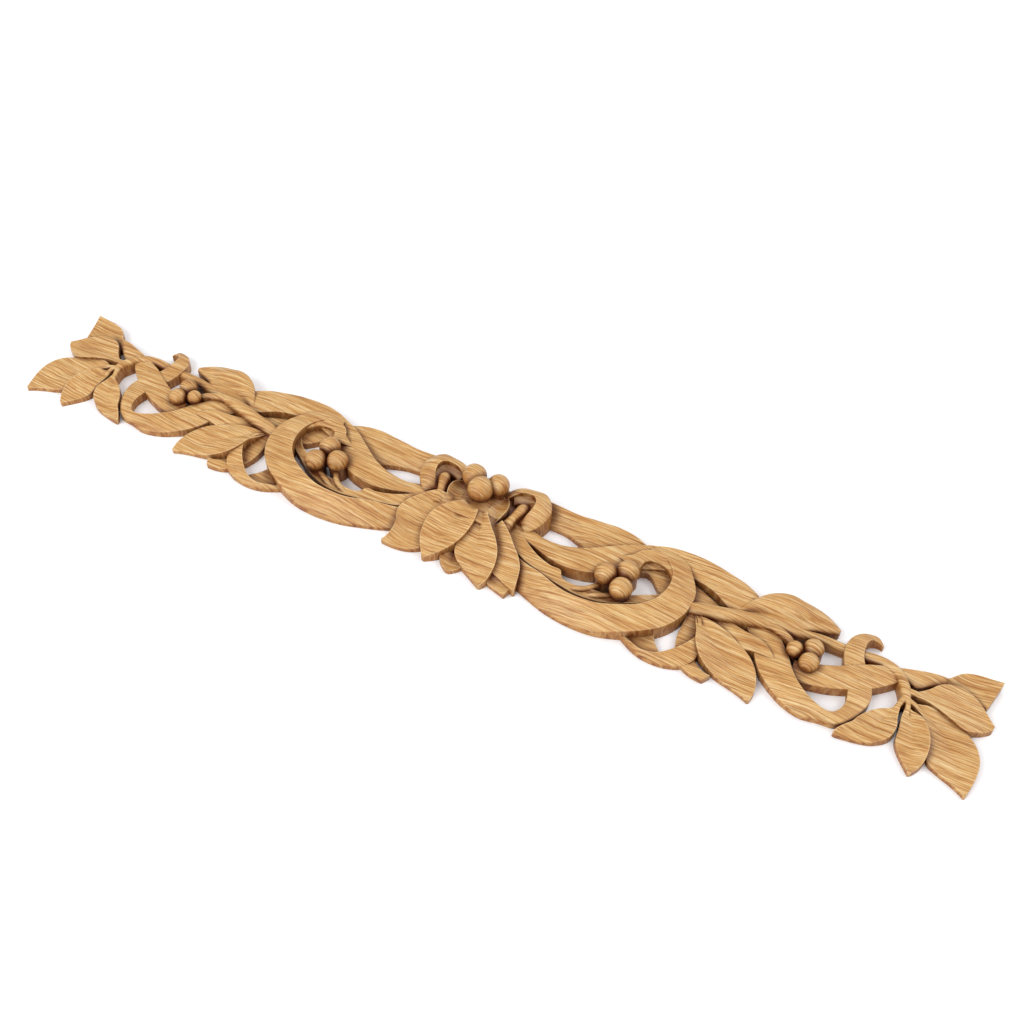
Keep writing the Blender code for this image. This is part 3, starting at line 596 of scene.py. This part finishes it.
def mark_shelter(onlay):
    """Stores how sheltered each corner is, evened out with its neighbours; the material paints shade in
    recesses by it.
    """
    tree = BVHTree.FromObject(onlay, bpy.context.evaluated_depsgraph_get())
    spread = sphere_directions(SHELTER_RAYS)
    shelter = np.array([sheltered(vertex, tree, spread) for vertex in onlay.data.vertices])
    first, second = edge_ends(onlay.data)
    for _ in range(SHELTER_ROUNDS):
        total = shelter.copy()
        count = np.ones(len(shelter))
        for end, other in ((first, second), (second, first)):
            np.add.at(total, end, shelter[other])
            np.add.at(count, end, 1)
        shelter = total / count
    store(onlay.data, "shelter", shelter)


def mark_rims(onlay):
    """Stores how sharply the surface bends at each corner: 1 on a rim, -1 in a crease, 0 where flat; the
    material paints shade in creases and highlights on rims by it.
    """
    places = corner_vectors(onlay.data, "co")
    normals = corner_vectors(onlay.data, "normal")
    first, second = edge_ends(onlay.data)
    way = places[second] - places[first]
    squared = np.maximum((way ** 2).sum(axis=1), LEAST_EDGE ** 2)
    bend = ((normals[second] - normals[first]) * way).sum(axis=1) / squared * RIM_BEND
    total = np.zeros(len(places))
    count = np.zeros(len(places))
    for end in (first, second):
        np.add.at(total, end, bend)
        np.add.at(count, end, 1)
    store(onlay.data, "rim", np.clip(total / np.maximum(count, 1), -1, 1))


def stored(tree, name):
    """The value that the mesh keeps for each corner by this name."""
    made = tree.nodes.new("ShaderNodeAttribute")
    made.attribute_name = name
    return made.outputs["Fac"]


def ramp(tree, stops, source):
    """A colour ramp through (place, colour) stops, fed by source."""
    made = tree.nodes.new("ShaderNodeValToRGB")
    elements = made.color_ramp.elements
    while len(elements) < len(stops):
        elements.new(0.5)
    for element, (place, colour) in zip(elements, stops):
        element.position = place
        element.color = (*colour, 1.0)
    tree.links.new(source, made.inputs["Fac"])
    return made.outputs["Color"]


def mixed(tree, kind, factor, first, second):
    """Two colours mixed by kind; factor is a number or a socket."""
    made = tree.nodes.new("ShaderNodeMix")
    made.data_type = "RGBA"
    made.blend_type = kind
    if isinstance(factor, float):
        made.inputs["Factor"].default_value = factor
    else:
        tree.links.new(factor, made.inputs["Factor"])
    for socket, value in (("A", first), ("B", second)):
        target = next(i for i in made.inputs if i.name == socket and i.type == "RGBA")
        if isinstance(value, tuple):
            target.default_value = (*value, 1.0)
        else:
            tree.links.new(value, target)
    return next(o for o in made.outputs if o.type == "RGBA")


def calculated(tree, operation, first, second):
    """A math node on sockets or numbers."""
    made = tree.nodes.new("ShaderNodeMath")
    made.operation = operation
    for socket, value in zip(made.inputs, (first, second)):
        if isinstance(value, float):
            socket.default_value = value
        else:
            tree.links.new(value, socket)
    return made.outputs[0]


def bent(tree, place):
    """The place, shifted a little by broad noise, so that grain drawn from it waves."""
    bend = tree.nodes.new("ShaderNodeTexNoise")
    bend.inputs["Scale"].default_value = BEND_SCALE
    bend.inputs["Detail"].default_value = BEND_DETAIL
    tree.links.new(place, bend.inputs["Vector"])
    shift = tree.nodes.new("ShaderNodeVectorMath")
    shift.operation = "MULTIPLY_ADD"
    shift.inputs[1].default_value = (0.0, BEND_SIZE, BEND_SIZE)
    tree.links.new(bend.outputs["Color"], shift.inputs[0])
    tree.links.new(place, shift.inputs[2])
    return shift.outputs["Vector"]


def grain(tree, place, along, crosswise, detail, roughness, distortion):
    """Noise whose features are longer along X than across it, by their counts per metre."""
    stretch = tree.nodes.new("ShaderNodeMapping")
    stretch.inputs["Scale"].default_value = (along, crosswise, crosswise * THROUGH)
    tree.links.new(place, stretch.inputs["Vector"])
    made = tree.nodes.new("ShaderNodeTexNoise")
    made.inputs["Scale"].default_value = 1.0
    made.inputs["Detail"].default_value = detail
    made.inputs["Roughness"].default_value = roughness
    made.inputs["Distortion"].default_value = distortion
    tree.links.new(stretch.outputs["Vector"], made.inputs["Vector"])
    return made.outputs["Fac"]


def shaded_and_highlighted(tree, colour, normal):
    """The colour with painted shade on walls, in recesses and in creases, and painted highlights on rims."""
    facing = tree.nodes.new("ShaderNodeSeparateXYZ")
    tree.links.new(normal, facing.inputs["Vector"])
    # painted shade: upright walls are made darker than level tops, as if less lit
    colour = mixed(tree, "MULTIPLY", ramp(tree, WALL_SHADE_RANGE, facing.outputs["Z"]), colour, WALL_SHADE_COLOUR)
    # painted shade: sheltered corners are darkened as if in shadow
    deep = ramp(tree, RECESS_SHADE_RANGE, stored(tree, "shelter"))
    colour = mixed(tree, "MULTIPLY", deep, colour, RECESS_SHADE_COLOUR)
    rim = stored(tree, "rim")
    # painted shade: creases are darkened as if in shadow
    crease = ramp(tree, CREASE_SHADE_RANGE, calculated(tree, "MULTIPLY", rim, -1.0))
    colour = mixed(tree, "MULTIPLY", crease, colour, CREASE_SHADE_COLOUR)
    # painted highlight: rims are paled as if catching the light
    return mixed(tree, "MIX", ramp(tree, RIM_HIGHLIGHT_RANGE, rim), colour, RIM_HIGHLIGHT_COLOUR)


def oak():
    """Carved oak: wavy light and dark grain along X, with pores, and painted shade and highlights that
    follow the carving's form.
    """
    material = bpy.data.materials.new("carved oak")
    material.use_nodes = True
    tree = material.node_tree
    shader = tree.nodes["Principled BSDF"]
    shader.inputs["Roughness"].default_value = WOOD_ROUGHNESS
    shader.inputs["Specular IOR Level"].default_value = WOOD_SPECULAR

    coordinates = tree.nodes.new("ShaderNodeTexCoord")
    place = coordinates.outputs["Object"]
    wavy = bent(tree, place)
    streaks = grain(tree, wavy, *STREAKS)
    lines = grain(tree, wavy, *LINES)
    pores = grain(tree, wavy, *PORES)
    broad = grain(tree, place, *BROAD)
    colour = ramp(tree, STREAK_COLOURS, streaks)
    colour = mixed(tree, "MULTIPLY", LINE_STRENGTH, colour, ramp(tree, LINE_COLOURS, lines))
    colour = mixed(tree, "MULTIPLY", BROAD_STRENGTH, colour, ramp(tree, BROAD_COLOURS, broad))
    colour = mixed(tree, "MULTIPLY", PORE_STRENGTH, colour, ramp(tree, PORE_COLOURS, pores))
    colour = shaded_and_highlighted(tree, colour, coordinates.outputs["Normal"])
    tree.links.new(colour, shader.inputs["Base Color"])

    bump = tree.nodes.new("ShaderNodeBump")
    bump.inputs["Strength"].default_value = BUMP_STRENGTH
    bump.inputs["Distance"].default_value = BUMP_DEPTH
    height = calculated(tree, "ADD", lines, calculated(tree, "MULTIPLY", pores, PORE_RELIEF))
    tree.links.new(height, bump.inputs["Height"])
    tree.links.new(bump.outputs["Normal"], shader.inputs["Normal"])
    return material


def white_floor():
    """The plain floor that the onlay lies on."""
    bpy.ops.mesh.primitive_plane_add(size=FLOOR_SIZE, location=(0, 0, FLOOR_DROP))
    ground = bpy.context.object
    ground.name = "floor"
    paint = bpy.data.materials.new("white floor")
    paint.use_nodes = True
    shader = paint.node_tree.nodes["Principled BSDF"]
    shader.inputs["Base Color"].default_value = (*FLOOR_COLOUR, 1.0)
    shader.inputs["Roughness"].default_value = FLOOR_ROUGHNESS
    shader.inputs["Specular IOR Level"].default_value = FLOOR_SPECULAR
    ground.data.materials.append(paint)


def aimed(name, data, place, aim):
    """A lamp or camera that stands at a place and looks at another."""
    stand = bpy.data.objects.new(name, data)
    stand.location = place
    stand.rotation_euler = (Vector(aim) - Vector(place)).to_track_quat("-Z", "Y").to_euler()
    bpy.context.scene.collection.objects.link(stand)
    return stand


def soft_light(name, place, size, power):
    """A large square lamp that looks at the origin."""
    lamp = bpy.data.lights.new(name, "AREA")
    lamp.shape = "SQUARE"
    lamp.size = size
    lamp.energy = power
    aimed(name, lamp, place, (0, 0, 0))


def light_up():
    """An even white room, a key lamp at the front left and a weaker one at the back right."""
    world = bpy.data.worlds.new("white room")
    world.use_nodes = True
    sky = world.node_tree.nodes["Background"]
    sky.inputs["Color"].default_value = (*ROOM_COLOUR, 1.0)
    sky.inputs["Strength"].default_value = ROOM_STRENGTH
    bpy.context.scene.world = world
    soft_light("key", KEY_PLACE, KEY_SIZE, KEY_POWER)
    soft_light("fill", FILL_PLACE, FILL_SIZE, FILL_POWER)
    bpy.context.scene.view_settings.view_transform = "Standard"


def set_camera():
    """The photograph's viewpoint."""
    camera = bpy.data.cameras.new("camera")
    camera.lens = CAMERA_LENS
    camera.sensor_width = CAMERA_SENSOR
    bpy.context.scene.camera = aimed("camera", camera, CAMERA_PLACE, CAMERA_AIM)


bodies = bpy.data.collections.new("bodies")
half(1)
half(-1)
centre()
laurel = carve()
mark_shelter(laurel)
mark_rims(laurel)
laurel.data.materials.append(oak())
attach(laurel, "root")
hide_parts("laurel_onlay")
white_floor()
light_up()
set_camera()
